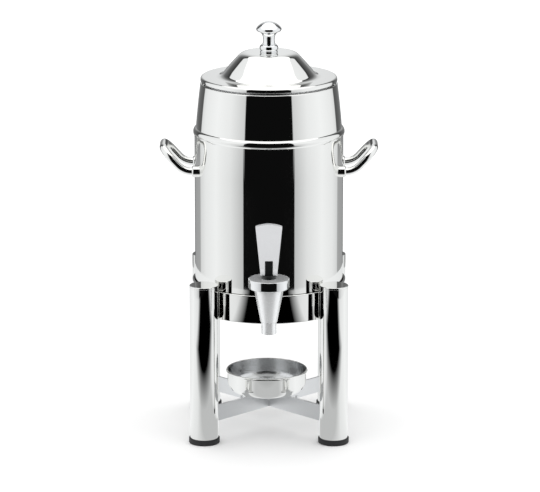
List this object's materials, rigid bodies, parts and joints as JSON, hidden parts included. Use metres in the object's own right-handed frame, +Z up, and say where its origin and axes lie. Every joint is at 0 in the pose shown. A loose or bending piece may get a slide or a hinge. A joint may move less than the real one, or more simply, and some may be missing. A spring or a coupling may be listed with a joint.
{
  "type": "coffee urn",
  "caption": "Mirror-polished coffee urn with a lift-off domed lid, loop handles and a lever faucet, standing in a ring on tube legs over an open fuel bowl.",
  "frame": {"origin": "on the floor under the urn's axis, midway between the feet", "axes": "+Z up along the urn's axis, the faucet faces -Y, the handles lie along X"},
  "size_m": [0.293, 0.2726, 0.5592],
  "materials": {
    "mirror_steel": "mirror-polished stainless steel",
    "satin_steel": "satin brushed stainless steel",
    "chrome_plate": "polished chrome plate",
    "fastener_steel": "turned steel",
    "foot_rubber": "matte moulded rubber",
    "seal_rubber": "soft silicone rubber",
    "pale_plastic": "semi-gloss moulded plastic",
    "black_plastic": "moulded black plastic"
  },
  "bodies": {
    "stand": {"leg_tube_front_left": "mirror_steel", "leg_cap_front_left": "mirror_steel", "rubber_foot_front_left": "foot_rubber", "leg_tube_front_right": "mirror_steel", "leg_cap_front_right": "mirror_steel", "rubber_foot_front_right": "foot_rubber", "leg_tube_rear_right": "mirror_steel", "leg_cap_rear_right": "mirror_steel", "rubber_foot_rear_right": "foot_rubber", "leg_tube_rear_left": "mirror_steel", "leg_cap_rear_left": "mirror_steel", "rubber_foot_rear_left": "foot_rubber", "support_ring": "mirror_steel", "ring_screws": "fastener_steel", "cross_plate_lower": "satin_steel", "cross_plate_upper": "satin_steel"},
    "bowl": {"fuel_bowl": "satin_steel"},
    "urn": {"urn_shell": "mirror_steel", "side_handle_left": "mirror_steel", "side_handle_right": "mirror_steel", "handle_ferrule_front_left": "mirror_steel", "handle_ferrule_rear_left": "mirror_steel", "handle_ferrule_front_right": "mirror_steel", "handle_ferrule_rear_right": "mirror_steel", "handle_saddle_washers": "fastener_steel", "handle_nuts": "fastener_steel", "faucet_body": "chrome_plate", "faucet_shank": "chrome_plate", "shank_nut": "fastener_steel", "shank_gasket_outer": "seal_rubber", "shank_gasket_inner": "seal_rubber", "faucet_bonnet": "chrome_plate", "stem_bushing": "black_plastic", "valve_spring": "fastener_steel"},
    "valve": {"valve_stem": "fastener_steel", "seat_cup": "seal_rubber", "stem_head": "black_plastic", "lever_pin": "fastener_steel"},
    "lever": {"faucet_lever": "pale_plastic"},
    "lid": {"lid_shell": "mirror_steel", "lid_collar": "satin_steel", "knob_washer": "chrome_plate", "lid_knob": "chrome_plate", "knob_screw": "fastener_steel"}
  },
  "joints": [
    {"name": "bowl_lift", "type": "slide", "parent": "stand", "child": "bowl", "axis": [0, 0, 1], "range_m": [0, 0.08]},
    {"name": "urn_lift", "type": "slide", "parent": "stand", "child": "urn", "axis": [0, 0, 1], "range_m": [0, 0.08]},
    {"name": "lid_lift", "type": "slide", "parent": "urn", "child": "lid", "axis": [0, 0, 1], "range_m": [0, 0.08]},
    {"name": "stem_lift", "type": "slide", "parent": "urn", "child": "valve", "axis": [0, 0, 1], "range_m": [0, 0.00274], "stiffness_N_per_m": 300, "springref_m": -0.004, "deforming": ["valve_spring"]},
    {"name": "lever_tilt", "type": "hinge", "parent": "valve", "child": "lever", "pos_m": [0, -0.138, 0.25055], "axis": [1, 0, 0], "range_deg": [0, 45]}
  ],
  "couplings": [
    {"joint": "lever_tilt", "follows": "stem_lift", "rad_per_m": 285.71}
  ]
}
